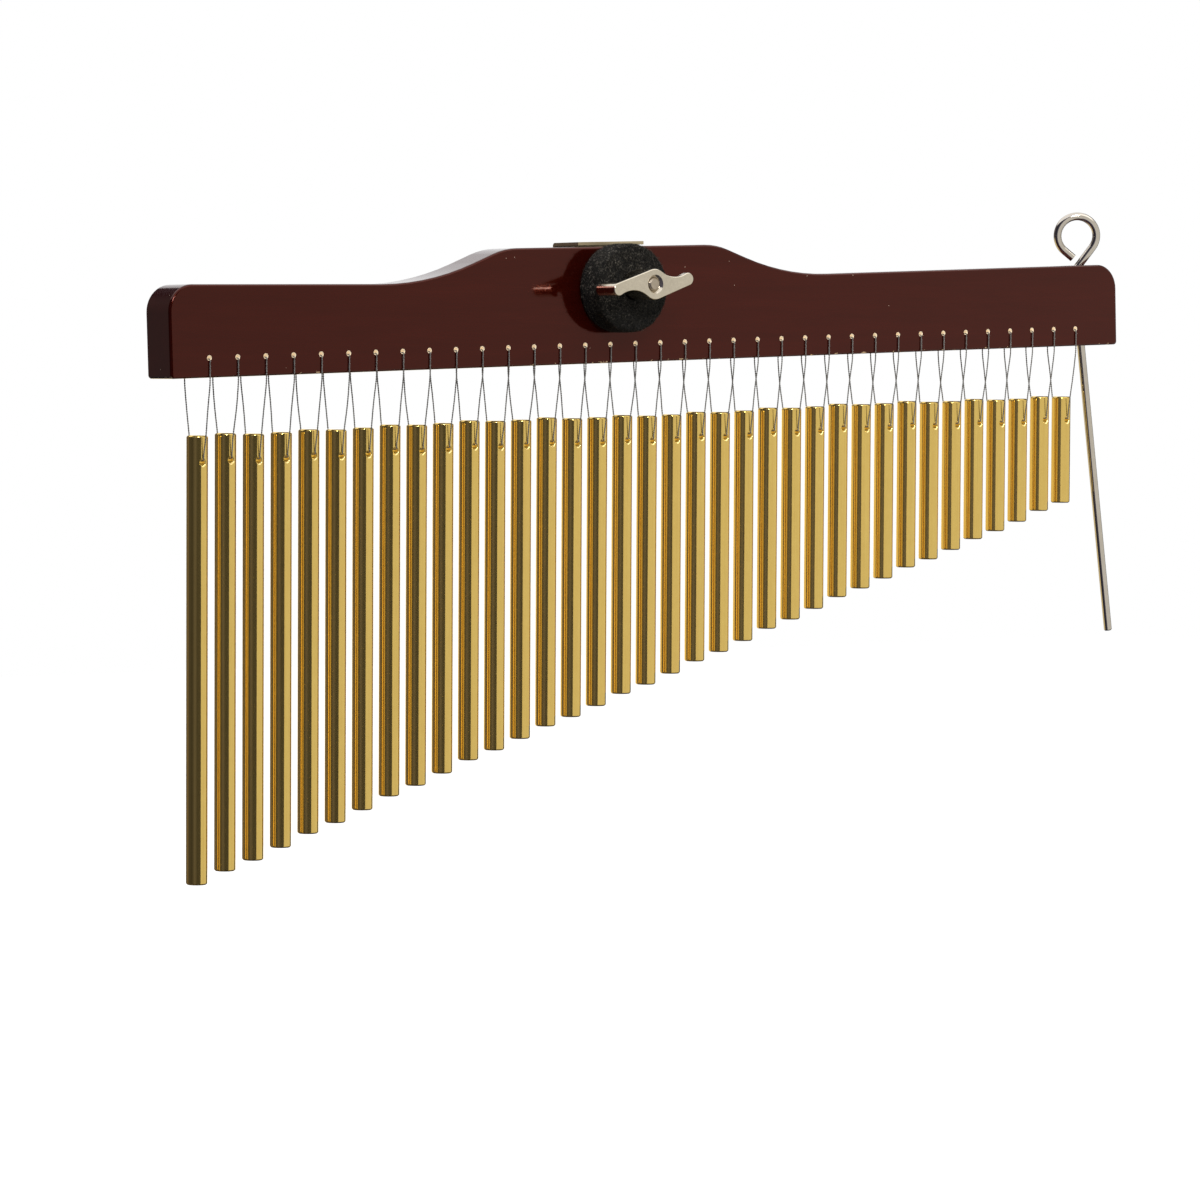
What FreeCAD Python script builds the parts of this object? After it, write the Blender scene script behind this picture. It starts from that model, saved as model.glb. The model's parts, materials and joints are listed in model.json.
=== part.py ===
import FreeCAD, Part
import os
from math import sin, cos, tan, radians, sqrt, atan2, pi

# Bar chimes: a wooden bar on a clamp stud, a row of graded rods on cord loops, and a striker.
# Millimetres. The stud's axis is Y, the bar runs along X, the rods hang along -Z.
# Y = 0 is where the stud's free shank leaves its hex flange; the front of the bar faces -Y.

# bar
BAR_THICK = 20.0
BAR_BACK = -7.5
BAR_FRONT = BAR_BACK - BAR_THICK
BAR_LEFT = -241.7
BAR_RIGHT = 317.5
BAR_ROLL = 2.04           # degrees, short-rod end up, so that the row of rods follows the bar
STUD_HEIGHT = 36.05       # stud axis above the bar's bottom edge
HUMP_HEIGHT = 54.0
HUMP_HALF = 54.5
HUMP_RADIUS = 39.2
OGEE_ANGLE = 20.0
OGEE_STRAIGHT = 11.1
OGEE_RADIUS = 142.0
LEFT_END_HEIGHT = 40.9
RIGHT_END_HEIGHT = 40.3
TOP_CORNER = 12.0
BOTTOM_CORNER = 1.6
ARRIS = 1.2
STUD_BORE_R = 3.2

# rods and their cords
CHIMES = 36
PITCH = 14.6
FIRST_HOLE = -222.0
HOLE_HEIGHT = 8.2         # hole axis above the bar's bottom edge
HOLE_R = 0.9
HOLE_RAISE = 0.42         # the cord rests low in its hole, on the hinge line
HOLE_SINK = 0.32
CHIME_R = 4.75
LONGEST = 197.6
LENGTH_STEP = 4.24         # between the longest rods
LENGTH_EASE = 0.0035       # the steps shrink a little towards the short end
CHIME_DROP = 33.05        # rod top below the bar's hole
TIE_SPREAD = 0.42         # hand-tied loops differ a little
EYE_DROP = 11.8           # cross hole below the rod's top
EYE_R = 1.25
EYE_SINK = 0.75
CHIME_CHAMFER = 0.7
CORD_R = 0.35
CORD_OFF = 0.55           # strand centre off the bar's face
CORD_TURN = 1.2
CORD_BEND = 10.6          # where the strands start to converge, below the hole
CORD_BEND_R = 14.0
EYE_TURN = 1.2

# stud, nut, felt, bracket
STUD_FRONT_R = 3.0
STUD_END = BAR_FRONT - 31.1
SHANK_R = 4.0
SHANK_LENGTH = 30.8
FLANGE_FLATS = 15.0
FELT_R = 20.5
FELT_THICK = 14.5
FELT_BORE_R = 4.55
FELT_SAG = 1.45           # the loose washer hangs on the stud
NUT_GAP = 0.15
NUT_BORE_R = 3.08
NUT_FRONT = BAR_FRONT - 31.5
NUT_DEPTH = 13.7
WING_DEPTH = 3.2
TAB_X = 19.6              # the long wing's end is folded back to the hub's full depth
NUT_HUB_R = 7.0
NUT_NECK_R = 6.2
NUT_SINK = 1.3
LONG_TIP_X = 20.8
SHORT_TIP_X = 19.2
TIP_R = 2.9
TIP_Z = 2.7
WAIST_R = 13.5
BRACKET_WIDTH = 38.0
BRACKET_THICK = 1.5
BRACKET_LIFT = 0.7        # top leg stands this far off the hump
BRACKET_INSET = 1.8       # its front edge lies behind the bar's face
BRACKET_BELOW = 17.0      # back leg's reach below the stud axis
BRACKET_GAP = 0.1
SCREW_X = 12.5
SCREW_Z = -11.0
SCREW_R = 1.75
SCREW_HEAD_R = 3.4
SCREW_HEAD = 1.5
SCREW_LENGTH = 14.0
RECESS_ARM = 1.9
RECESS_WIDTH = 0.8
RECESS_DEPTH = 1.5

# striker
STRIKER_R = 2.0
STRIKER_HOLE_R = 2.3
STRIKER_X = 301.8         # hole at the bar's bottom edge
STRIKER_SLANT = 6.1       # degrees, lower end towards +X
STRIKER_BELOW = 146.2
STRIKER_LOOP_R = 9.75
STRIKER_LOOP_RISE = 14.9  # loop centre above the bar's top
STRIKER_LOOP_X = 3.2      # and beside the long rod's line
STRIKER_BEND_DEPTH = 3.0  # the neck's bend starts down in the hole's mouth
STRIKER_NECK_R = 5.0
STRIKER_TAIL = 5.8
STRIKER_TURN = -37.0      # the loop is turned about its own rod

V = FreeCAD.Vector
Y = V(0, 1, 0)


def roll(shape):
    """Turn a shape drawn square to the bar into its place about the stud."""
    turned = shape.copy()
    turned.rotate(V(0, 0, 0), Y, -BAR_ROLL)
    return turned


def rolled_point(x, z):
    a = radians(BAR_ROLL)
    return x * cos(a) - z * sin(a), x * sin(a) + z * cos(a)


def cyl_y(radius, y0, y1, x=0.0, z=0.0):
    return Part.makeCylinder(radius, y1 - y0, V(x, y0, z), Y)


def cone_y(r0, r1, y0, y1, x=0.0, z=0.0):
    return Part.makeCone(r0, r1, y1 - y0, V(x, y0, z), Y)


def chain(points):
    """Lines and three-point arcs in the XZ plane, as a closed face at y = 0."""
    edges = []
    start = points[0]
    for step in points[1:]:
        a, b = V(start[0], 0, start[1]), V(step[-2], 0, step[-1])
        if len(step) == 4:
            edges.append(Part.Arc(a, V(step[0], 0, step[1]), b).toShape())
        else:
            edges.append(Part.makeLine(a, b))
        start = (step[-2], step[-1])
    return Part.Face(Part.Wire(edges))


def arc_point(cx, cz, radius, angle):
    return cx + radius * cos(radians(angle)), cz + radius * sin(radians(angle))


def ogee(side, end_x, end_height):
    """Half of the bar's top edge, from the hump's shoulder out to the end's corner."""
    a = radians(OGEE_ANGLE)
    steps = []
    x0, z0 = HUMP_HALF, HUMP_HEIGHT
    mid = arc_point(x0, z0 - HUMP_RADIUS, HUMP_RADIUS, 90 - OGEE_ANGLE / 2)
    end = arc_point(x0, z0 - HUMP_RADIUS, HUMP_RADIUS, 90 - OGEE_ANGLE)
    steps.append(mid + end)
    low = (end[0] + OGEE_STRAIGHT, end[1] - OGEE_STRAIGHT * tan(a))
    steps.append(low)
    cx, cz = low[0] + OGEE_RADIUS * sin(a), low[1] + OGEE_RADIUS * cos(a)
    rise = atan2(end_height - (cz - OGEE_RADIUS), abs(end_x) - cx)
    rise_deg = rise * 180 / pi
    mid = arc_point(cx, cz, OGEE_RADIUS, -90 + (rise_deg - OGEE_ANGLE) / 2)
    end = arc_point(cx, cz, OGEE_RADIUS, -90 + rise_deg)
    steps.append(mid + end)
    r = TOP_CORNER
    steps.append((abs(end_x) - r, end_height))
    mid = arc_point(abs(end_x) - r, end_height - r, r, 45)
    steps.append(mid + (abs(end_x), end_height - r))
    return [tuple(v * side if i % 2 == 0 else v for i, v in enumerate(s)) for s in steps]


def reverse_steps(start, steps):
    """The same chain walked from its far end back to its start."""
    ends = [start] + [s[-2:] for s in steps]
    back = []
    for i in range(len(steps) - 1, -1, -1):
        back.append(steps[i][:2] + ends[i] if len(steps[i]) == 4 else ends[i])
    return back


def bar_blank():
    right = ogee(1, BAR_RIGHT, RIGHT_END_HEIGHT)
    left = ogee(-1, BAR_LEFT, LEFT_END_HEIGHT)
    c = BOTTOM_CORNER
    k = c * (1 - sqrt(0.5))
    points = [(-HUMP_HALF, HUMP_HEIGHT), (HUMP_HALF, HUMP_HEIGHT)] + right
    points += [(BAR_RIGHT, c), (BAR_RIGHT - k, k, BAR_RIGHT - c, 0.0)]
    points += [(BAR_LEFT + c, 0.0), (BAR_LEFT + k, k, BAR_LEFT, c)]
    points += [left[-1][-2:]] + reverse_steps((-HUMP_HALF, HUMP_HEIGHT), left)
    face = chain(points)
    face.translate(V(0, BAR_FRONT, -STUD_HEIGHT))
    blank = face.extrude(V(0, BAR_THICK, 0))
    rims = [e for e in blank.Edges
            if abs(e.BoundBox.YMax - e.BoundBox.YMin) < 1e-6]
    return blank.makeFillet(ARRIS, rims)


def hole_x(k):
    return FIRST_HOLE + PITCH * k


def chime_hole(k):
    x, z = hole_x(k), HOLE_HEIGHT - STUD_HEIGHT + HOLE_RAISE
    through = cyl_y(HOLE_R, BAR_FRONT - 1, BAR_BACK + 1, x, z)
    wide = HOLE_R + HOLE_SINK
    front = cone_y(wide + 1, HOLE_R, BAR_FRONT - 1, BAR_FRONT + HOLE_SINK, x, z)
    back = cone_y(HOLE_R, wide + 1, BAR_BACK - HOLE_SINK, BAR_BACK + 1, x, z)
    return [through, front, back]


def striker_frame(shape):
    """Place a shape drawn along -Z from the bar's bottom edge on the slanted hole."""
    shape.rotate(V(0, 0, 0), V(0, 0, 1), STRIKER_TURN)
    shape.rotate(V(0, 0, 0), Y, -STRIKER_SLANT)
    shape.translate(V(STRIKER_X, BAR_FRONT + BAR_THICK / 2, -STUD_HEIGHT))
    return shape


def screw(x, z, length=SCREW_LENGTH):
    """Countersunk wood screw driven forwards from the bracket's back leg."""
    back = BAR_BACK + BRACKET_GAP + BRACKET_THICK
    head = cone_y(SCREW_R, SCREW_HEAD_R, back - SCREW_HEAD, back, x, z)
    shank = cyl_y(SCREW_R, back - length + 3, back - SCREW_HEAD, x, z)
    point = cone_y(0.3, SCREW_R, back - length, back - length + 3, x, z)
    return head.fuse([shank, point]).removeSplitter()


def screws():
    return [screw(sx * SCREW_X, SCREW_Z) for sx in (-1, 1)]


def recess(solid, x, z):
    """Cut a cross recess in a screw's head."""
    back = BAR_BACK + BRACKET_GAP + BRACKET_THICK
    arms = []
    for w, h in ((RECESS_ARM, RECESS_WIDTH / 2), (RECESS_WIDTH / 2, RECESS_ARM)):
        corner = V(x - w, back - RECESS_DEPTH, z - h)
        arms.append(Part.makeBox(2 * w, RECESS_DEPTH + 1, 2 * h, corner))
    return solid.cut(arms)


def bar():
    cutters = [cyl_y(STUD_BORE_R, BAR_FRONT - 1, BAR_BACK + 1)]
    for k in range(CHIMES):
        cutters += chime_hole(k)
    run = Part.makeCylinder(STRIKER_HOLE_R, 60, V(0, 0, -8))
    mouth_z = (RIGHT_END_HEIGHT - 0.3) / cos(radians(STRIKER_SLANT))
    mouth = Part.makeCone(STRIKER_HOLE_R, STRIKER_HOLE_R + 4.4, 6.2, V(0, 0, mouth_z - 5.0))
    cutters += [striker_frame(run), striker_frame(mouth)] + screws()
    return roll(bar_blank().cut(cutters))


def bracket():
    """L plate: the top leg reaches over the hump, the back leg holds the stud and two screws."""
    top = HUMP_HEIGHT - STUD_HEIGHT + BRACKET_LIFT
    w, t = BRACKET_WIDTH, BRACKET_THICK
    back = BAR_BACK + BRACKET_GAP + t
    front = BAR_FRONT + BRACKET_INSET
    plate = Part.makeBox(w, back - front, t, V(-w / 2, front, top))
    leg = Part.makeBox(w, t, top + t + BRACKET_BELOW, V(-w / 2, back - t, -BRACKET_BELOW))
    body = plate.fuse(leg).removeSplitter()
    bend = [e for e in body.Edges
            if abs(e.BoundBox.YMin - back) < 1e-6 and abs(e.BoundBox.ZMin - top - t) < 1e-6
            and e.BoundBox.XMax - e.BoundBox.XMin > w - 1]
    body = body.makeFillet(t, bend)
    corners = [e for e in body.Edges
               if e.BoundBox.YMax - e.BoundBox.YMin > t - 0.1
               and e.BoundBox.ZMax - e.BoundBox.ZMin < 1e-6
               and e.BoundBox.XMax - e.BoundBox.XMin < 1e-6
               and abs(e.BoundBox.ZMax + BRACKET_BELOW) < 1e-6]
    body = body.makeFillet(4.0, corners)
    body = body.cut([cyl_y(STUD_BORE_R, back - 2 * t, back + 1)] + screws())
    return roll(body)


def felt():
    washer = cyl_y(FELT_R, BAR_FRONT - FELT_THICK, BAR_FRONT)
    washer = washer.makeFillet(1.5, [e for e in washer.Edges if len(e.Vertexes) == 1])
    washer = washer.cut(cyl_y(FELT_BORE_R, BAR_FRONT - FELT_THICK - 1, BAR_FRONT + 1))
    washer.translate(V(0, 0, -FELT_SAG))
    return washer


def stud():
    back = BAR_BACK + BRACKET_GAP + BRACKET_THICK + NUT_GAP
    front = cyl_y(STUD_FRONT_R, STUD_END, back + 1)
    lead = [e for e in front.Edges if abs(e.BoundBox.YMax - STUD_END) < 1e-6]
    front = front.makeChamfer(0.7, lead)
    radius = FLANGE_FLATS / 2 / cos(pi / 6)
    corners = [V(radius * cos(i * pi / 3), back, radius * sin(i * pi / 3)) for i in range(7)]
    hexagon = Part.Face(Part.makePolygon(corners)).extrude(V(0, -back, 0))
    shank = cyl_y(SHANK_R, -1, SHANK_LENGTH)
    tail = [e for e in shank.Edges if abs(e.BoundBox.YMin - SHANK_LENGTH) < 1e-6]
    shank = shank.makeChamfer(0.8, tail)
    return front.fuse([hexagon, shank]).removeSplitter()


def unit(x, z):
    reach = sqrt(x * x + z * z)
    return x / reach, z / reach


def waist_centre(tip_x):
    """Centre of the hollow between hub and tip: touches both circles from outside."""
    a, b = NUT_HUB_R + WAIST_R, TIP_R + WAIST_R
    reach = sqrt(tip_x ** 2 + TIP_Z ** 2)
    along = (a * a - b * b + reach * reach) / (2 * reach)
    off = sqrt(a * a - along * along)
    ux, uz = unit(tip_x, TIP_Z)
    return along * ux - off * uz, along * uz + off * ux


def nut_arm(tip_x, depth):
    """One wing: straight on its lower side, hollow on its upper side, with a round tip."""
    ux, uz = unit(tip_x, TIP_Z)
    s = (NUT_HUB_R - TIP_R) / sqrt(tip_x ** 2 + TIP_Z ** 2)
    c = sqrt(1 - s * s)
    nx, nz = ux * s + uz * c, uz * s - ux * c
    wx, wz = waist_centre(tip_x)
    hx, hz = unit(wx, wz)
    tx, tz = unit(wx - tip_x, wz - TIP_Z)
    mx, mz = unit(-hx - tx, -hz - tz)
    start = (NUT_HUB_R * nx, NUT_HUB_R * nz)
    outline = [
        start,
        (tip_x + TIP_R * nx, TIP_Z + TIP_R * nz),
        (tip_x + TIP_R * ux, TIP_Z + TIP_R * uz, tip_x + TIP_R * tx, TIP_Z + TIP_R * tz),
        (wx + WAIST_R * mx, wz + WAIST_R * mz, NUT_HUB_R * hx, NUT_HUB_R * hz),
        (0.0, 0.0),
        start,
    ]
    face = chain(outline)
    face.translate(V(0, NUT_FRONT, 0))
    return face.extrude(V(0, depth, 0))


def wing_nut():
    short = nut_arm(SHORT_TIP_X, WING_DEPTH)
    end = Part.makeBox(30, NUT_DEPTH, 24, V(TAB_X, NUT_FRONT, -12))
    long = nut_arm(LONG_TIP_X, WING_DEPTH).fuse(nut_arm(LONG_TIP_X, NUT_DEPTH).common(end))
    long.rotate(V(0, 0, 0), Y, 180)
    hub_back = NUT_FRONT + NUT_DEPTH
    body = cyl_y(NUT_HUB_R, NUT_FRONT, hub_back).fuse([short, long]).removeSplitter()
    front = [e for e in body.Edges if abs(e.BoundBox.YMax - NUT_FRONT) < 1e-6]
    body = body.makeFillet(0.5, front)
    foot = BAR_FRONT - FELT_THICK - NUT_GAP
    body = body.fuse(cone_y(NUT_HUB_R, NUT_NECK_R, hub_back, foot)).removeSplitter()
    sink = cone_y(NUT_BORE_R + NUT_SINK + 1, NUT_BORE_R, NUT_FRONT - 1, NUT_FRONT + NUT_SINK)
    return body.cut([cyl_y(NUT_BORE_R, NUT_FRONT - 1, foot + 1), sink])


def rounded(points, radii):
    """Edges through the points, with a tangent arc of the given radius at each inner one."""
    edges = []
    start = points[0]
    for i in range(1, len(points) - 1):
        p = points[i]
        a, b = (points[i - 1] - p).normalize(), (points[i + 1] - p).normalize()
        half = a.getAngle(b) / 2
        reach = radii[i - 1] / tan(half)
        out = (a + b).normalize()
        mid = p + out * (radii[i - 1] / sin(half) - radii[i - 1])
        edges.append(Part.makeLine(start, p + a * reach))
        start = p + b * reach
        edges.append(Part.Arc(p + a * reach, mid, start).toShape())
    edges.append(Part.makeLine(start, points[-1]))
    return edges


def sweep(edges, radius, normal):
    begin = edges[0].Vertexes[0].Point
    ring = Part.Wire(Part.makeCircle(radius, begin, normal))
    return Part.Wire(edges).makePipeShell([ring], True, False)


def cord_loop(drop):
    """One closed loop about the hinge line at the origin, down both faces to the rod."""
    middle = (BAR_FRONT + BAR_BACK) / 2
    front, back = BAR_FRONT - CORD_OFF, BAR_BACK + CORD_OFF
    mouth = CHIME_R + 0.5
    points = [V(0, middle, 0), V(0, front, 0), V(0, front, -CORD_BEND),
              V(0, middle - mouth, -drop), V(0, middle, -drop)]
    radii = [CORD_TURN, CORD_BEND_R, EYE_TURN]
    half = sweep(rounded(points, radii), CORD_R, Y)
    other = half.mirror(V(0, middle, 0), Y)
    return half.fuse(other).removeSplitter()


def chime_rod(length, eye):
    """A rod hanging from its top at z = 0, with a cross hole for the cord."""
    middle = (BAR_FRONT + BAR_BACK) / 2
    rod = Part.makeCylinder(CHIME_R, length, V(0, middle, -length))
    rod = rod.makeChamfer(CHIME_CHAMFER, [e for e in rod.Edges if len(e.Vertexes) == 1])
    front, back = middle - CHIME_R, middle + CHIME_R
    wide = EYE_R + EYE_SINK + 1
    cuts = [cyl_y(EYE_R, front - 1, back + 1, 0, -eye),
            cone_y(wide, EYE_R, front - 1, front + EYE_SINK, 0, -eye),
            cone_y(EYE_R, wide, back - EYE_SINK, back + 1, 0, -eye)]
    return rod.cut(cuts)


def chime(k):
    """Rod k and its own cord loop, hanging plumb from the bar's hole k."""
    x, z = rolled_point(hole_x(k), HOLE_HEIGHT - STUD_HEIGHT)
    drop = CHIME_DROP + TIE_SPREAD * (sin(0.41 * k + 0.55) + 1.1 * sin(2.09 * k + 2.78))
    rod = chime_rod(LONGEST - (LENGTH_STEP - LENGTH_EASE * k) * k, EYE_DROP)
    rod.translate(V(x, 0, z - drop))
    cord = cord_loop(drop + EYE_DROP - (EYE_R - CORD_R - 0.1))
    cord.translate(V(x, 0, z))
    return Part.makeCompound([rod, cord])


def striker_line():
    """Centre line of the wire: a long rod, a bent neck, an open eye and its short tail."""
    top = RIGHT_END_HEIGHT - STRIKER_BEND_DEPTH
    cx, cz = STRIKER_LOOP_X, RIGHT_END_HEIGHT + STRIKER_LOOP_RISE
    reach = sqrt(cx * cx + (cz - top) ** 2)
    toward = atan2(cz - top, cx)
    spread = atan2(STRIKER_LOOP_R, sqrt(reach ** 2 - STRIKER_LOOP_R ** 2))
    leg = reach * cos(spread)
    touch = V(leg * cos(toward - spread), 0, top + leg * sin(toward - spread))
    edges = rounded([V(0, 0, -STRIKER_BELOW), V(0, 0, top), touch], [STRIKER_NECK_R])
    a1 = 224.0
    over = arc_point(cx, cz, STRIKER_LOOP_R, 95)
    end = arc_point(cx, cz, STRIKER_LOOP_R, a1)
    edges.append(Part.Arc(touch, V(over[0], 0, over[1]), V(end[0], 0, end[1])).toShape())
    tail = arc_point(end[0], end[1], STRIKER_TAIL, a1 + 90)
    edges.append(Part.makeLine(V(end[0], 0, end[1]), V(tail[0], 0, tail[1])))
    return edges


def striker():
    wire = sweep(striker_line(), STRIKER_R, V(0, 0, 1))
    tip = [e for e in wire.Edges if abs(e.BoundBox.ZMax + STRIKER_BELOW) < 1e-6]
    wire = wire.makeChamfer(0.5, tip)
    return roll(striker_frame(wire))


def save(name, shape):
    shape.exportStep("parts/" + name + ".step")


os.makedirs("parts", exist_ok=True)
save("bar", bar())
save("mounting_bracket", bracket())
save("bracket_screws", roll(Part.makeCompound(
    [recess(s, sx * SCREW_X, SCREW_Z) for s, sx in zip(screws(), (-1, 1))])))
save("felt_washer", felt())
save("wing_nut", wing_nut())
save("mounting_stud", stud())
save("striker", striker())
for number in range(CHIMES):
    save("chime_%02d" % (number + 1), chime(number))
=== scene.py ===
import json
import math
import random

import bmesh
import bpy
from mathutils import Matrix, Vector, noise


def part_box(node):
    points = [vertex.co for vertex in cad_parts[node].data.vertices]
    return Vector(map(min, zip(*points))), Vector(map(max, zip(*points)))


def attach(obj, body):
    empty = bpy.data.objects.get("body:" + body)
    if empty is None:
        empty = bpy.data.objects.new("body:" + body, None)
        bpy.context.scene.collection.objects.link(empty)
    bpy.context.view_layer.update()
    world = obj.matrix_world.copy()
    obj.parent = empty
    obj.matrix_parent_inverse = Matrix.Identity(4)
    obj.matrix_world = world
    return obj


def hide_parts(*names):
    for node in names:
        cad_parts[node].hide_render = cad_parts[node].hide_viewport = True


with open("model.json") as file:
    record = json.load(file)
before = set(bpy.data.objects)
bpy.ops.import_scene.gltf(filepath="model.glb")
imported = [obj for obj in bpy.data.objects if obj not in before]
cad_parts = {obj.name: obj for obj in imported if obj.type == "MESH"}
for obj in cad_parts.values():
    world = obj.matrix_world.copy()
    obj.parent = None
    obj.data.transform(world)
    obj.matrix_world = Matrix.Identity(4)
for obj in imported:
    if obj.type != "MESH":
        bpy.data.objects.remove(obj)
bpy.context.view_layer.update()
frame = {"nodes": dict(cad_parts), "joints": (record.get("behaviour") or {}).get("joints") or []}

MM = 0.001
NODES = frame["nodes"]
JOINTS = {j["name"]: j for j in frame["joints"]}
BAR_ROLL = math.radians(2.04)     # short-rod end up
BAR_FOOT = -36.05 * MM            # bottom edge below the stud's axis
CHIP_BAND = 0.9 * MM              # lacquer chips stay this close to the bottom edge
scene = bpy.context.scene
scene.view_settings.view_transform = "Standard"


# ---------------------------------------------------------------- node helpers

def new_material(name):
    m = bpy.data.materials.new(name)
    m.use_nodes = True
    tree = m.node_tree
    tree.nodes.clear()
    out = tree.nodes.new("ShaderNodeOutputMaterial")
    shader = tree.nodes.new("ShaderNodeBsdfPrincipled")
    tree.links.new(shader.outputs[0], out.inputs[0])
    return m, tree, shader


def node(tree, kind, inputs=None, **props):
    n = tree.nodes.new(kind)
    for key, value in props.items():
        setattr(n, key, value)
    for key, value in (inputs or {}).items():
        if isinstance(value, bpy.types.NodeSocket):
            tree.links.new(value, n.inputs[key])
        else:
            n.inputs[key].default_value = value
    return n


def scaled(tree, x, y, z):
    """Object coordinates stretched per axis."""
    place = node(tree, "ShaderNodeTexCoord").outputs["Object"]
    return node(tree, "ShaderNodeMapping", {"Vector": place, "Scale": (x, y, z)}).outputs[0]


def ramp(tree, fac, stops):
    n = node(tree, "ShaderNodeValToRGB", {"Fac": fac})
    band = n.color_ramp
    while len(band.elements) < len(stops):
        band.elements.new(0.5)
    for e, (at, colour) in zip(band.elements, stops):
        e.position = at
        e.color = colour if len(colour) == 4 else (*colour, 1)
    return n.outputs[0]


def grey(v):
    return (v, v, v, 1)


def noise_of(tree, vector, scale, detail=4, rough=0.5, distort=0.0):
    return node(tree, "ShaderNodeTexNoise", {
        "Vector": vector, "Scale": scale, "Detail": detail,
        "Roughness": rough, "Distortion": distort}).outputs[0]


def mix_colour(tree, fac, a, b, kind="MIX"):
    n = node(tree, "ShaderNodeMix", data_type="RGBA", blend_type=kind)
    for socket, value in ((n.inputs[0], fac), (n.inputs[6], a), (n.inputs[7], b)):
        if isinstance(value, bpy.types.NodeSocket):
            tree.links.new(value, socket)
        else:
            socket.default_value = value
    return n.outputs[2]


def maths(tree, kind, a, b=0.0):
    return node(tree, "ShaderNodeMath", {0: a, 1: b}, operation=kind).outputs[0]


def bump(tree, shader, height, distance, strength=1.0, coat=False):
    n = node(tree, "ShaderNodeBump", {"Height": height, "Strength": strength,
                                      "Distance": distance})
    tree.links.new(n.outputs[0], shader.inputs["Normal"])
    if coat:
        tree.links.new(n.outputs[0], shader.inputs["Coat Normal"])


def feed(tree, shader, socket, value):
    tree.links.new(value, shader.inputs[socket])


# ---------------------------------------------------------------- materials

def lacquered_wood():
    """Red-stained wood under clear gloss: faint long grain, dust, chips along the bottom edge."""
    m, t, s = new_material("mahogany_lacquer")
    figure = noise_of(t, scaled(t, 6, 60, 60), 2.2, 5, 0.6, 0.6)
    fine = noise_of(t, scaled(t, 40, 900, 900), 1.0, 3, 0.6)
    base = ramp(t, figure, [(0.3, (0.023, 0.0016, 0.0006)), (0.55, (0.029, 0.0020, 0.0008)),
                            (0.8, (0.037, 0.0028, 0.0011))])
    lines = ramp(t, fine, [(0.42, grey(0.88)), (0.6, grey(1.0))])
    colour = mix_colour(t, 0.8, base, lines, "MULTIPLY")
    flat = scaled(t, 1, 1, 1)
    dots = node(t, "ShaderNodeTexVoronoi", {"Vector": flat, "Scale": 120.0}).outputs["Distance"]
    luck = noise_of(t, flat, 37, 1)
    dust = maths(t, "MULTIPLY", maths(t, "LESS_THAN", dots, 0.032),
                 maths(t, "GREATER_THAN", luck, 0.50))
    colour = mix_colour(t, maths(t, "MULTIPLY", dust, 0.55), colour, (0.62, 0.50, 0.40, 1))
    axes = node(t, "ShaderNodeSeparateXYZ", {0: flat})
    slope = math.tan(BAR_ROLL)
    height = maths(t, "SUBTRACT", axes.outputs[2], maths(t, "MULTIPLY", axes.outputs[0], slope))
    low = maths(t, "LESS_THAN", height, BAR_FOOT + CHIP_BAND)
    chip = maths(t, "GREATER_THAN", noise_of(t, flat, 210, 3, 0.6), 0.635)
    colour = mix_colour(t, maths(t, "MULTIPLY", low, chip), colour, (0.62, 0.46, 0.28, 1))
    feed(t, s, "Base Color", colour)
    feed(t, s, "Roughness", ramp(t, fine, [(0.3, grey(0.14)), (0.7, grey(0.10))]))
    s.inputs["Specular IOR Level"].default_value = 0.42
    s.inputs["Specular Tint"].default_value = (1.0, 0.10, 0.01, 1)
    s.inputs["Coat Weight"].default_value = 0.40
    s.inputs["Coat Roughness"].default_value = 0.06
    s.inputs["Coat IOR"].default_value = 1.45
    peel = noise_of(t, flat, 260, 2, 0.5)
    bump(t, s, peel, 0.00004, 0.3, coat=True)
    return m


def raw_wood():
    """Pale bare wood where a hole cuts through the lacquer, with a faint painted glow that stands in for
    light on the hole's inner wall.
    """
    m, t, s = new_material("raw_hole_wood")
    grain = noise_of(t, scaled(t, 300, 2500, 2500), 1.0, 3, 0.6)
    feed(t, s, "Base Color", ramp(t, grain, [(0.3, (0.80, 0.60, 0.36)), (0.7, (0.97, 0.88, 0.70))]))
    s.inputs["Roughness"].default_value = 0.65
    # Painted light: a faint cream glow, though the wood is no lamp, brightens the hole mouths.
    s.inputs["Emission Color"].default_value = (1.0, 0.86, 0.62, 1)
    s.inputs["Emission Strength"].default_value = 0.28
    bump(t, s, grain, 0.0001, 0.4)
    return m


def gold():
    """Gold-anodised rod: polished, with drawn lines, dull marks and a weak haze under the shine."""
    m, t, s = new_material("gold_rod")
    drawn = noise_of(t, scaled(t, 2600, 2600, 14), 1.0, 3, 0.6)
    marks = noise_of(t, scaled(t, 420, 420, 210), 1.0, 4, 0.65)
    tone = mix_colour(t, 0.35, ramp(t, drawn, [(0.3, (0.77, 0.535, 0.15)), (0.7, (0.87, 0.64, 0.19))]),
                      ramp(t, marks, [(0.35, (0.77, 0.54, 0.155)), (0.75, (0.87, 0.645, 0.20))]))
    feed(t, s, "Base Color", tone)
    s.inputs["Metallic"].default_value = 0.90
    feed(t, s, "Roughness", ramp(t, marks, [(0.42, grey(0.08)), (0.62, grey(0.11)), (0.8, grey(0.20))]))
    bump(t, s, drawn, 0.00002, 0.25)
    return m


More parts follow.
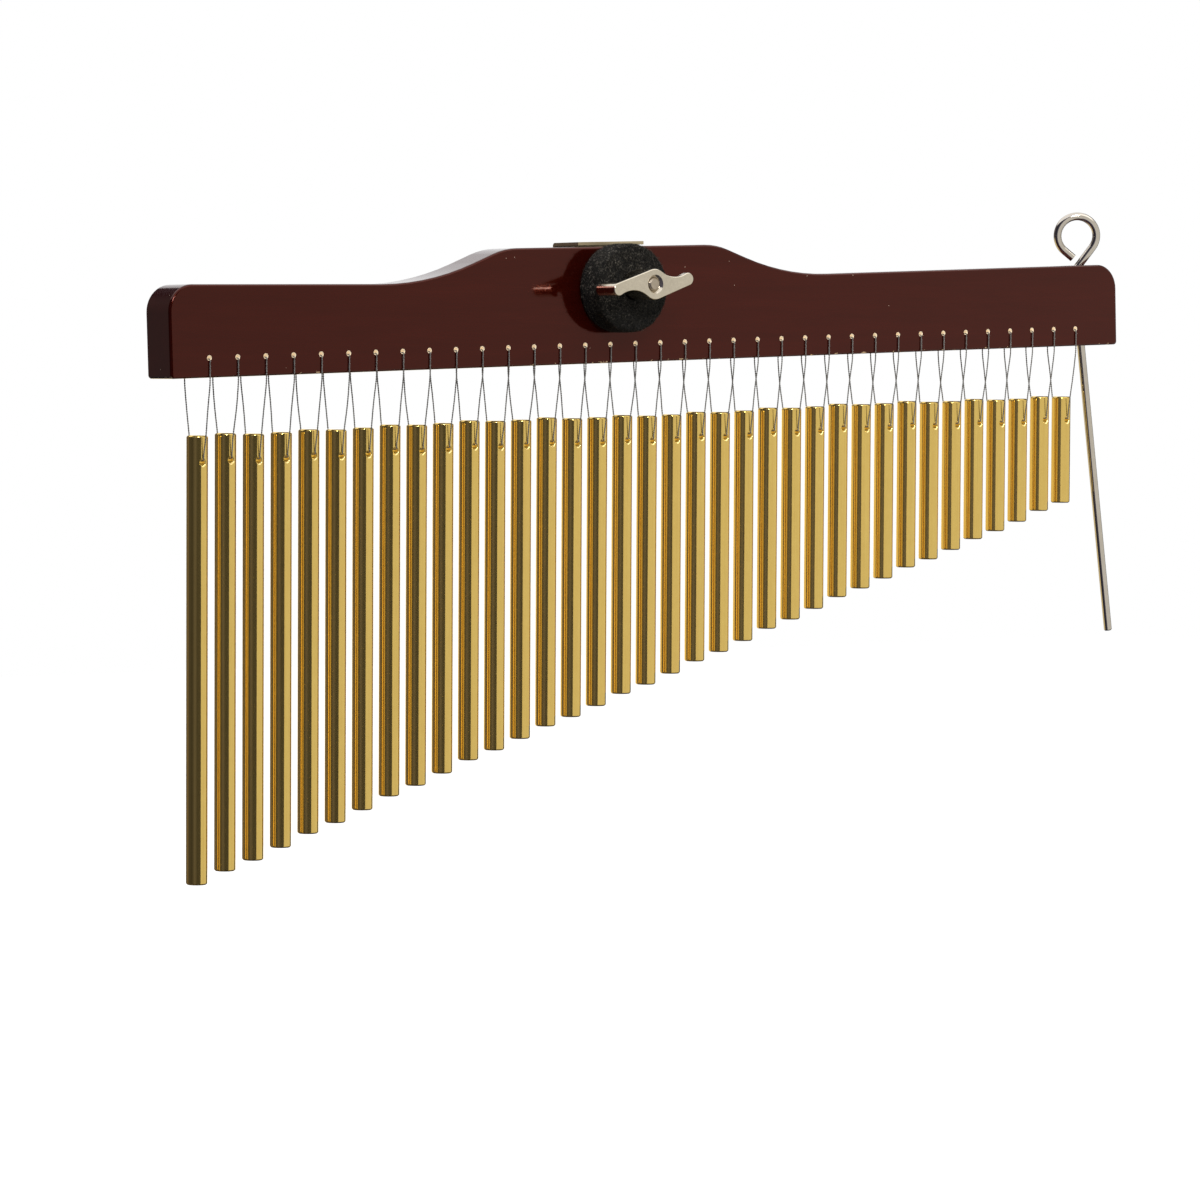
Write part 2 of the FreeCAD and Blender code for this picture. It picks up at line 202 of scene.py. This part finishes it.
def gold_cut():
    """The countersunk cross hole: the same metal with fine tool marks, brighter and duller, with a faint
    painted gold glow that stands in for light caught in the hole.
    """
    m, t, s = new_material("gold_cut_edge")
    marks = noise_of(t, scaled(t, 1, 1, 1), 2400, 3, 0.6)
    feed(t, s, "Base Color", ramp(t, marks, [(0.3, (0.88, 0.68, 0.27)), (0.7, (0.97, 0.82, 0.42))]))
    s.inputs["Metallic"].default_value = 0.95
    feed(t, s, "Roughness", ramp(t, marks, [(0.3, grey(0.24)), (0.7, grey(0.32))]))
    # Painted light: a faint gold glow, though the metal is no lamp, brightens the cross hole.
    s.inputs["Emission Color"].default_value = (1.0, 0.66, 0.10, 1)
    s.inputs["Emission Strength"].default_value = 0.10
    bump(t, s, marks, 0.00002, 0.4)
    return m


def cord_fibre():
    """Dark grey twisted line with paler fibres."""
    m, t, s = new_material("cord_fibre")
    fleck = noise_of(t, scaled(t, 1, 1, 1), 3800, 3, 0.7)
    feed(t, s, "Base Color", ramp(t, fleck, [(0.3, (0.07, 0.068, 0.064)), (0.52, (0.20, 0.195, 0.185)),
                                             (0.8, (0.42, 0.41, 0.39))]))
    s.inputs["Roughness"].default_value = 0.5
    s.inputs["Sheen Weight"].default_value = 0.3
    s.inputs["Sheen Roughness"].default_value = 0.4
    bump(t, s, fleck, 0.00006, 0.5)
    return m


def felt():
    """Pressed black wool: matted noise at three sizes, pale flecks, soft sheen, and painted shade, lighter
    towards the upper left and darker towards the lower right.
    """
    m, t, s = new_material("black_felt")
    flat = scaled(t, 1, 1, 1)
    mat = noise_of(t, flat, 1100, 6, 0.75, 0.6)
    clump = noise_of(t, flat, 330, 5, 0.7, 0.8)
    broad = noise_of(t, flat, 120, 3, 0.55)
    base = ramp(t, mat, [(0.38, (0.003, 0.0028, 0.0022)), (0.52, (0.020, 0.0185, 0.0145)),
                         (0.64, (0.66, 0.60, 0.50))])
    shade = ramp(t, clump, [(0.42, grey(0.06)), (0.60, grey(1.0))])
    patch = ramp(t, broad, [(0.35, grey(0.6)), (0.65, grey(1.0))])
    colour = mix_colour(t, 0.85, mix_colour(t, 0.9, base, shade, "MULTIPLY"), patch, "MULTIPLY")
    # Painted shade: the colour is multiplied darker towards the lower right and kept bright towards the
    # upper left. This stands in for the key light from the upper left and the nut's shadow.
    axes = node(t, "ShaderNodeSeparateXYZ", {0: flat})
    rise = maths(t, "SUBTRACT", axes.outputs[2], axes.outputs[0])
    share = maths(t, "ADD", maths(t, "MULTIPLY", rise, 20.0), 0.5)
    painted_shade = ramp(t, share, [(0.05, grey(0.22)), (0.45, grey(0.50)), (0.90, grey(1.0))])
    colour = mix_colour(t, 1.0, colour, painted_shade, "MULTIPLY")
    feed(t, s, "Base Color", colour)
    s.inputs["Roughness"].default_value = 0.95
    s.inputs["Specular IOR Level"].default_value = 0.1
    s.inputs["Sheen Weight"].default_value = 0.06
    s.inputs["Sheen Roughness"].default_value = 0.5
    both = maths(t, "ADD", mat, maths(t, "MULTIPLY", clump, 2.2))
    bump(t, s, both, 0.0022, 1.0)
    return m


def felt_fibre():
    """Loose dark and pale wool hairs."""
    m, t, s = new_material("felt_fibre")
    tone = noise_of(t, scaled(t, 1, 1, 1), 1400, 2)
    feed(t, s, "Base Color", ramp(t, tone, [(0.38, (0.004, 0.0038, 0.003)), (0.70, (0.10, 0.093, 0.076))]))
    s.inputs["Roughness"].default_value = 0.9
    s.inputs["Specular IOR Level"].default_value = 0.1
    s.inputs["Sheen Weight"].default_value = 0.08
    return m


def metal(name, low, high, rough_low, rough_high, scale=500, brushed=None, depth=0.00003):
    """A metal with fine uneven tone, roughness and surface."""
    m, t, s = new_material(name)
    where = scaled(t, *(brushed or (1, 1, 1)))
    cloud = noise_of(t, where, scale if not brushed else 1.0, 4, 0.6)
    broad = noise_of(t, scaled(t, 1, 1, 1), 90, 3, 0.5)
    feed(t, s, "Base Color", mix_colour(t, 0.5, ramp(t, cloud, [(0.3, low), (0.7, high)]),
                                        ramp(t, broad, [(0.3, low), (0.75, high)])))
    s.inputs["Metallic"].default_value = 1.0
    feed(t, s, "Roughness", ramp(t, cloud, [(0.3, grey(rough_low)), (0.7, grey(rough_high))]))
    bump(t, s, cloud, depth, 0.4)
    return m


WOOD = lacquered_wood()
RAW = raw_wood()
GOLD = gold()
CUT = gold_cut()
CORD = cord_fibre()
FELT = felt()
FIBRE = felt_fibre()
NICKEL = metal("satin_nickel", (0.58, 0.53, 0.44), (0.72, 0.66, 0.55), 0.12, 0.22, 700)
STUD = metal("dull_stud_steel", (0.40, 0.345, 0.28), (0.54, 0.47, 0.38), 0.25, 0.42, 600)
CHROME = metal("polished_chrome", (0.56, 0.52, 0.47), (0.66, 0.62, 0.56), 0.05, 0.10, 300,
               depth=0.00001)
BRASS = metal("passivated_brass", (0.42, 0.355, 0.235), (0.56, 0.475, 0.315), 0.26, 0.42,
              brushed=(60, 1500, 1500))
STEEL = metal("zinc_steel", (0.48, 0.48, 0.47), (0.66, 0.65, 0.62), 0.25, 0.42, 600)


# ---------------------------------------------------------------- mesh helpers

def add_piece(name, mesh, body, mats, stands_for=()):
    o = bpy.data.objects.new(name, mesh)
    scene.collection.objects.link(o)
    for m in mats:
        mesh.materials.append(m)
    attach(o, body)
    if stands_for:
        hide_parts(*stands_for)


def ring_mesh(rings, segments, close_ends=True):
    """Vertices and faces of a lathe about Z from (radius, z) rows, both ends closed by flat caps unless
    close_ends is false.
    """
    verts, faces = [], []
    for r, z in rings:
        for i in range(segments):
            a = 2 * math.pi * i / segments
            verts.append((r * math.cos(a), r * math.sin(a), z))
    for j in range(len(rings) - 1):
        for i in range(segments):
            k = (i + 1) % segments
            faces.append((j * segments + i, j * segments + k,
                          (j + 1) * segments + k, (j + 1) * segments + i))
    if close_ends:
        faces.append(tuple(range(segments - 1, -1, -1)))
        top = (len(rings) - 1) * segments
        faces.append(tuple(range(top, top + segments)))
    return verts, faces


def mesh_from(name, verts, faces):
    me = bpy.data.meshes.new(name)
    me.from_pydata([tuple(v) for v in verts], [], faces)
    me.validate()
    return me


def smooth(me, angle=35):
    """Smooth shading that keeps edges sharper than the angle."""
    bm = bmesh.new()
    bm.from_mesh(me)
    limit = math.radians(angle)
    for f in bm.faces:
        f.smooth = True
    for e in bm.edges:
        e.smooth = len(e.link_faces) == 2 and e.calc_face_angle(0) < limit
    bm.to_mesh(me)
    bm.free()


def cut(target, tool):
    """target minus tool, as a new mesh."""
    a = bpy.data.objects.new("cut_a", target)
    b = bpy.data.objects.new("cut_b", tool)
    for o in (a, b):
        scene.collection.objects.link(o)
    mod = a.modifiers.new("cut", "BOOLEAN")
    mod.operation, mod.solver, mod.object = "DIFFERENCE", "EXACT", b
    bpy.context.view_layer.update()
    out = bpy.data.meshes.new_from_object(a.evaluated_get(bpy.context.evaluated_depsgraph_get()))
    for o in (a, b):
        bpy.data.objects.remove(o)
    return out


# ---------------------------------------------------------------- rods

ROD_R = 4.75 * MM
ROD_LONGEST = 197.6 * MM
ROD_STEP = 4.24 * MM
ROD_EASE = 0.0035 * MM
EYE_DROP = 11.8 * MM              # cross hole below the rod's top
EYE_R = 1.25 * MM
EYE_SINK = 0.75 * MM              # width of its countersink
EYE_SLOPE = math.tan(math.radians(34))
SEGMENTS = 96


def rod_pattern():
    """The longest rod, top at z = 0, with rolled end edges and a countersunk cross hole."""
    r = ROD_R
    end = [(r - 0.95 * MM, 0), (r - 0.72 * MM, 0.02 * MM), (r - 0.55 * MM, 0.11 * MM),
           (r - 0.12 * MM, 0.53 * MM), (r - 0.03 * MM, 0.70 * MM), (r, 0.95 * MM)]
    rings = [(a, -ROD_LONGEST + h) for a, h in end] + [(a, -h) for a, h in reversed(end)]
    verts, faces = ring_mesh(rings, SEGMENTS)
    body = mesh_from("rod_pattern", verts, faces)
    past = 0.5 * MM
    half = [(EYE_R + EYE_SINK + past, r + past * EYE_SLOPE)]
    for share in (0.3, 0.12, 0.04, 0.0):
        sunk = EYE_SLOPE * (1 - share) + 3 * (0.3 - share) ** 2
        half.append((EYE_R + EYE_SINK * share, r - EYE_SINK * sunk))
    cutter, cfaces = ring_mesh([(a, -y) for a, y in half] + [(a, y) for a, y in reversed(half)], 48)
    turn = Matrix.Translation((0, 0, -EYE_DROP)) @ Matrix.Rotation(math.radians(90), 4, "X")
    tool = mesh_from("rod_cutter", [turn @ Vector(v) for v in cutter], cfaces)
    me = cut(body, tool)
    smooth(me, 28)
    return me


def round_normals(me):
    """Cylinder normals on the rod's long wall, so that reflections run straight; cut faces marked."""
    given = []
    reach = EYE_R + EYE_SINK + 0.3 * MM
    corners = me.corner_normals
    for p in me.polygons:
        n = p.normal
        wall = abs(n.z) < 1e-4 and math.hypot(p.center.x, p.center.y) > ROD_R * 0.985
        for i in p.loop_indices:
            if wall:
                v = me.vertices[me.loops[i].vertex_index].co
                given.append(Vector((v.x, v.y, 0)).normalized())
            else:
                given.append(corners[i].vector.copy())
        near_eye = abs(p.center.z + EYE_DROP) <= reach
        p.material_index = 1 if near_eye and not wall else 0
    me.normals_split_custom_set(given)


PATTERN = rod_pattern()
CHIMES = [n for n in sorted(NODES) if n.startswith("chime_")]


def make_rod(k, name):
    low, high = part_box(name)
    pivot = Vector(JOINTS[name + "_swing"]["pos_m"])
    length = ROD_LONGEST - (ROD_STEP - ROD_EASE * k) * k
    me = PATTERN.copy()
    for v in me.vertices:
        if v.co.z < -ROD_LONGEST / 2:
            v.co.z += ROD_LONGEST - length
    round_normals(me)
    me.transform(Matrix.Translation((pivot.x, pivot.y, low.z + length)))
    add_piece("rod" + name[5:], me, name, [GOLD, CUT], [name])
    return low.z + length


# ---------------------------------------------------------------- cord loops

CORD_R = 0.35 * MM
CORD_LAY = 2.1 * MM               # one full turn of the two plies
CORD_OFF = 10.55                  # in mm, strand from the bar's middle plane
CORD_BEND = 10.6                  # in mm, straight down to here, then towards the rod
CORD_EYE = 5.25                   # in mm, strand from the rod's middle plane
CORD_SAG = 0.8                    # in mm, the cord lies against the top of the cross hole
CORD_TURN = 1.8                   # in mm, size of the turns at the holes
STRAY_X, STRAY_Y = 0.28, 0.22     # in mm, how far a hand-tied strand strays from straight
PLY_SHARE = 0.56                  # ply radius over cord radius
LAY_SAMPLES = 11                  # cross-sections per turn of the plies


def cord_route(drop, k):
    """Control points in mm about the hinge line: round the bar, down, through the rod."""
    f, e, d = CORD_OFF, CORD_EYE, drop
    slope = (f - e) / (d - CORD_BEND - 2)

    def strand(side, seed):
        points = [(0, f - CORD_TURN, 0), (0, f, 0), (0, f, -CORD_TURN), (0, f, -CORD_BEND + 2.0),
                  (0, f - 0.1, -CORD_BEND - 1)]
        for i, share in enumerate((0.35, 0.7)):
            z = CORD_BEND + (d - CORD_BEND) * share
            stray_x = STRAY_X * math.sin(1.7 * k + 2.1 * i + seed)
            stray_y = STRAY_Y * math.sin(2.9 * k + 1.3 * i + seed)
            points.append((stray_x, f - slope * (z - CORD_BEND) + stray_y, -z))
        points += [(0, e + slope * 1.2, -d + 3.4), (0, e, -d + CORD_TURN), (0, e, -d),
                   (0, e - CORD_TURN, -d)]
        return [(x, side * y, z) for x, y, z in points]

    return [(0, 0, 0)] + strand(-1, 0.0) + [(0, 0, -d)] + strand(1, 4.0)[::-1] + [(0, 0, 0)]


def spline_line(points):
    """The smooth line of a quadratic NURBS through the route, read as evaluated points."""
    cu = bpy.data.curves.new("route", "CURVE")
    cu.dimensions = "3D"
    sp = cu.splines.new("NURBS")
    sp.points.add(len(points) - 1)
    for p, (x, y, z) in zip(sp.points, points):
        p.co = (x * MM, y * MM, z * MM, 1)
    sp.order_u = 3
    sp.use_endpoint_u = True
    cu.resolution_u = 14
    o = bpy.data.objects.new("route", cu)
    me = bpy.data.meshes.new_from_object(o)
    line = [v.co.copy() for v in me.vertices]
    bpy.data.objects.remove(o)
    bpy.data.curves.remove(cu)
    bpy.data.meshes.remove(me)
    return line


def even(line, step):
    """The line resampled at even steps, with its tangents."""
    out, left = [], 0.0
    for a, b in zip(line, line[1:]):
        d = (b - a).length
        if d < 1e-9:
            continue
        t = left
        while t < d:
            out.append((a.lerp(b, t / d), (b - a).normalized()))
            t += step
        left = t - d
    out.append((line[-1].copy(), (line[-1] - line[-2]).normalized()))
    return out


def twisted(line, radius, lay, plies=2, sides=7):
    """Plies wound round the line, as one closed mesh each."""
    ply = radius * PLY_SHARE
    off = radius - ply * 0.98
    samples = even(line, lay / LAY_SAMPLES)
    verts, faces = [], []
    for s in range(plies):
        base = len(verts)
        travelled, before = 0.0, samples[0][0]
        for p, t in samples:
            travelled += (p - before).length
            before = p
            n = Vector((1, 0, 0)).cross(t).normalized()
            b = Vector((1, 0, 0))
            a = 2 * math.pi * (travelled / lay + s / plies)
            c = p + (n * math.cos(a) + b * math.sin(a)) * off
            for i in range(sides):
                w = 2 * math.pi * i / sides + a
                verts.append(c + (n * math.cos(w) + b * math.sin(w)) * ply)
        rings = (len(verts) - base) // sides
        for j in range(rings - 1):
            for i in range(sides):
                k = (i + 1) % sides
                faces.append((base + j * sides + i, base + j * sides + k,
                              base + (j + 1) * sides + k, base + (j + 1) * sides + i))
        faces.append(tuple(base + i for i in range(sides - 1, -1, -1)))
        last = base + (rings - 1) * sides
        faces.append(tuple(last + i for i in range(sides)))
    return verts, faces


def make_cord(k, name, top):
    pivot = Vector(JOINTS[name + "_swing"]["pos_m"])
    drop = (pivot.z - top + EYE_DROP) / MM - CORD_SAG
    line = spline_line(cord_route(drop, k))
    verts, faces = twisted(line, CORD_R, CORD_LAY)
    me = mesh_from("cord", [v + pivot for v in verts], faces)
    smooth(me, 60)
    add_piece("cord" + name[5:], me, name, [CORD], [name])


for index, chime in enumerate(CHIMES):
    make_cord(index, chime, make_rod(index, chime))


# ---------------------------------------------------------------- bar, bracket, metal parts

def dress(name, mats, pick=None):
    """Materials, and which of them each face takes, on a CAD node."""
    o = NODES[name]
    o.data.materials.clear()
    for m in mats:
        o.data.materials.append(m)
    for p in o.data.polygons:
        p.material_index = pick(p) if pick else 0


HOLES = [Vector(JOINTS[n + "_swing"]["pos_m"]) for n in CHIMES]
HOLE_RAISE = 0.42 * MM            # hole axis above the hinge line
HOLE_REACH = 1.6 * MM
SKIN = 0.02 * MM
BAR_LO, BAR_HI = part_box("bar")


def bar_face(p):
    """Bare wood inside the cord holes."""
    c = p.center
    inside = BAR_LO.y + SKIN < c.y < BAR_HI.y - SKIN
    for h in HOLES:
        if inside and (c.x - h.x) ** 2 + (c.z - h.z - HOLE_RAISE) ** 2 < HOLE_REACH ** 2:
            return 1
    return 0


dress("bar", [WOOD, RAW], pick=bar_face)
dress("mounting_bracket", [BRASS])
dress("bracket_screws", [STEEL])
dress("wing_nut", [NICKEL])
dress("mounting_stud", [STUD])
dress("striker", [CHROME])


# ---------------------------------------------------------------- felt washer

FELT_BORE = 5.5 * MM
FELT_SOFT = 1.9 * MM              # radius of the pressed edges
FELT_SEGMENTS = 260
FIBRES = 5200
FACE_SHARE = 0.62                 # of the fibres lie on the front face, the rest on the rim
FIBRE_R = 0.035 * MM
FELT_GRAIN = 520                  # scale of the lumps in its faces


def felt_rows(outer, thick):
    """(radius, depth) rows of the ring: front face, rounded edge, rim, rounded edge, back face."""
    half, flat = thick / 2, outer - FELT_SOFT
    steps = 44
    rows = [(FELT_BORE + (flat - FELT_BORE) * i / steps, -half) for i in range(steps + 1)]
    for i in range(1, 8):
        a = math.pi / 2 * i / 8
        rows.append((flat + FELT_SOFT * math.sin(a), -half + FELT_SOFT - FELT_SOFT * math.cos(a)))
    for i in range(13):
        rows.append((outer, -half + FELT_SOFT + (thick - 2 * FELT_SOFT) * i / 12))
    for i in range(1, 8):
        a = math.pi / 2 * i / 8
        rows.append((flat + FELT_SOFT * math.cos(a), half - FELT_SOFT + FELT_SOFT * math.sin(a)))
    for i in range(6):
        rows.append((flat - (flat - FELT_BORE) * i / 5, half))
    return rows


def felt_ring(centre, outer, thick, back):
    """The pressed ring itself, its faces uneven except where the back meets the bar."""
    rows = felt_rows(outer, thick)
    verts, faces = ring_mesh(rows, FELT_SEGMENTS, close_ends=False)
    last = (len(rows) - 1) * FELT_SEGMENTS
    for i in range(FELT_SEGMENTS):
        k = (i + 1) % FELT_SEGMENTS
        faces.append((last + i, last + k, k, i))
    stand = Matrix.Translation(centre) @ Matrix.Rotation(math.radians(-90), 4, "X")
    me = mesh_from("felt", [stand @ Vector(v) for v in verts], faces)
    bm = bmesh.new()
    bm.from_mesh(me)
    bmesh.ops.recalc_face_normals(bm, faces=bm.faces)
    bm.normal_update()
    for v in bm.verts:
        q = v.co * FELT_GRAIN
        d = noise.noise(q) * 0.30 + noise.noise(q * 2.7) * 0.18 - 0.10
        if v.co.y > back - 0.3 * MM:
            d = -0.02
        v.co += v.normal * d * MM
    bm.to_mesh(me)
    bm.free()
    smooth(me, 80)
    return me


def felt_fibres(centre, outer, thick):
    """Short bent hairs, thin three-sided tubes that taper, on the front face and the rim."""
    rnd = random.Random(7)
    verts, faces = [], []
    for _ in range(FIBRES):
        a = rnd.uniform(0, 2 * math.pi)
        if rnd.random() < FACE_SHARE:
            r = math.sqrt(rnd.uniform((FELT_BORE * 1.1) ** 2, (outer - 0.6 * MM) ** 2))
            p = Vector((r * math.cos(a), -thick / 2 + 0.12 * MM, r * math.sin(a)))
            n = Vector((0, -1, 0))
        else:
            y = rnd.uniform(-thick / 2 + 0.3 * MM, thick / 2 - 0.5 * MM)
            r = outer - 0.15 * MM
            p = Vector((r * math.cos(a), y, r * math.sin(a)))
            n = Vector((math.cos(a), 0, math.sin(a)))
        side = Vector((rnd.gauss(0, 1), rnd.gauss(0, 1), rnd.gauss(0, 1)))
        side = (side - n * side.dot(n)).normalized()
        length = rnd.uniform(0.7, 2.2) * MM
        lift = rnd.uniform(0.05, 0.28)
        bend = n.cross(side) * rnd.uniform(-0.5, 0.5)
        base = len(verts)
        for j in range(4):
            t = j / 3
            q = p + centre + side * (length * t) + bend * (length * t * t)
            q += n * (length * lift * math.sin(math.pi * t) * 0.9)
            for w in range(3):
                b = 2 * math.pi * w / 3
                u = n * math.cos(b) + n.cross(side) * math.sin(b)
                verts.append(q + u * FIBRE_R * (1 - 0.5 * t))
        for j in range(3):
            for w in range(3):
                k = (w + 1) % 3
                faces.append((base + 3 * j + w, base + 3 * j + k,
                              base + 3 * (j + 1) + k, base + 3 * (j + 1) + w))
        faces.append((base + 2, base + 1, base))
        faces.append((base + 9, base + 10, base + 11))
    me = mesh_from("felt_fuzz", verts, faces)
    smooth(me, 90)
    return me


def make_felt():
    low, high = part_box("felt_washer")
    centre = (low + high) / 2
    outer, thick = (high.x - low.x) / 2, high.y - low.y
    ring = felt_ring(centre, outer, thick, high.y)
    fuzz = felt_fibres(centre, outer, thick)
    add_piece("felt_ring", ring, "bar", [FELT], ["felt_washer"])
    add_piece("felt_fuzz", fuzz, "bar", [FIBRE], ["felt_washer"])


make_felt()


# ---------------------------------------------------------------- studio

def card(name, at, look, size, radiance, colour=(1, 1, 1)):
    """A soft rectangular light of an even brightness."""
    lamp = bpy.data.lights.new(name, "AREA")
    lamp.shape = "RECTANGLE"
    lamp.size, lamp.size_y = size
    lamp.energy = radiance * math.pi * size[0] * size[1]
    lamp.color = colour
    o = bpy.data.objects.new(name, lamp)
    scene.collection.objects.link(o)
    o.location = at
    o.rotation_euler = (Vector(look) - Vector(at)).to_track_quat("-Z", "Y").to_euler()
    o.visible_camera = False


def surroundings():
    """White behind the object; in reflections a dark grey room, uneven from side to side."""
    world = bpy.data.worlds.new("studio")
    scene.world = world
    world.use_nodes = True
    t = world.node_tree
    t.nodes.clear()
    out = t.nodes.new("ShaderNodeOutputWorld")
    axes = node(t, "ShaderNodeSeparateXYZ", {0: node(t, "ShaderNodeTexCoord").outputs["Generated"]})
    ahead = maths(t, "MULTIPLY", axes.outputs[1], -1.0)
    turn = maths(t, "ARCTAN2", axes.outputs[0], ahead)
    share = maths(t, "ADD", maths(t, "DIVIDE", turn, 2 * math.pi), 0.5)
    room = ramp(t, share, [(0.02, (0.045, 0.043, 0.052)), (0.07, (0.19, 0.155, 0.150)),
                           (0.10, (0.19, 0.155, 0.150)), (0.15, (0.060, 0.057, 0.074)),
                           (0.27, (0.022, 0.021, 0.029)), (0.355, (0.105, 0.100, 0.138)),
                           (0.42, (0.028, 0.027, 0.036)), (0.60, (0.026, 0.025, 0.032)),
                           (1.0, (0.045, 0.043, 0.052))])
    seen = node(t, "ShaderNodeBackground", {"Color": (1, 1, 1, 1), "Strength": 1.0})
    dim = node(t, "ShaderNodeBackground", {"Color": room, "Strength": 1.0})
    ray = node(t, "ShaderNodeLightPath").outputs["Is Camera Ray"]
    both = node(t, "ShaderNodeMixShader", {0: ray, 1: dim.outputs[0], 2: seen.outputs[0]})
    t.links.new(both.outputs[0], out.inputs[0])


def studio():
    surroundings()
    m, _, s = new_material("studio_floor")
    s.inputs["Base Color"].default_value = (0.9, 0.9, 0.9, 1)
    s.inputs["Roughness"].default_value = 0.8
    s.inputs["Emission Color"].default_value = (1, 1, 1, 1)
    s.inputs["Emission Strength"].default_value = 1.0
    wide, level = 6.0, -0.62
    me = mesh_from("floor", [(-wide, -wide, level), (wide, -wide, level), (wide, wide, level),
                             (-wide, wide, level)], [(0, 1, 2, 3)])
    me.materials.append(m)
    floor = bpy.data.objects.new("floor", me)
    scene.collection.objects.link(floor)
    floor.visible_glossy = False
    floor.visible_diffuse = False
    # a close softbox whose inner edge stands before the middle of the row
    left, right = Vector((-0.13, -0.50, 0)), Vector((1.60, 0.0, 0))
    middle, along = (left + right) / 2, right - left
    card("near_softbox", middle, middle + Vector((-along.y, along.x, 0)),
         (along.length, 1.7), 0.73, (1.0, 0.965, 0.87))
    card("top_softbox", (0.0, 0.2, 1.3), (0, 0.2, 0), (3.2, 3.4), 1.15, (1.0, 0.985, 0.96))
    card("key", (-0.69, -1.45, 0.77), (0, 0, -0.05), (0.34, 0.34), 27)
    card("gold_reflector", (0.08, 0.30, -0.21), (0.08, 0, -0.21), (0.46, 0.35), 0.74,
         (1.0, 0.80, 0.34))
    card("back_fill", (1.0, 1.5, 0.2), (0.1, 0, -0.05), (1.5, 1.5), 0.9)


CAMERA_AT = (-1.30365, -1.7553, -0.04315)
CAMERA_PAN, CAMERA_TILT, CAMERA_ROLL = -36.88, -2.73, 0.31    # in degrees, tilt from level
CAMERA_LENS = 139.63              # in mm, for a sensor 36 mm wide


def camera():
    data = bpy.data.cameras.new("camera")
    data.sensor_width = 36.0
    data.lens = CAMERA_LENS
    data.clip_start, data.clip_end = 0.05, 60
    o = bpy.data.objects.new("camera", data)
    scene.collection.objects.link(o)
    turn = (Matrix.Rotation(math.radians(CAMERA_PAN), 4, "Z")
            @ Matrix.Rotation(math.radians(90 + CAMERA_TILT), 4, "X")
            @ Matrix.Rotation(math.radians(CAMERA_ROLL), 4, "Z"))
    o.matrix_world = Matrix.Translation(CAMERA_AT) @ turn
    scene.camera = o


studio()
camera()
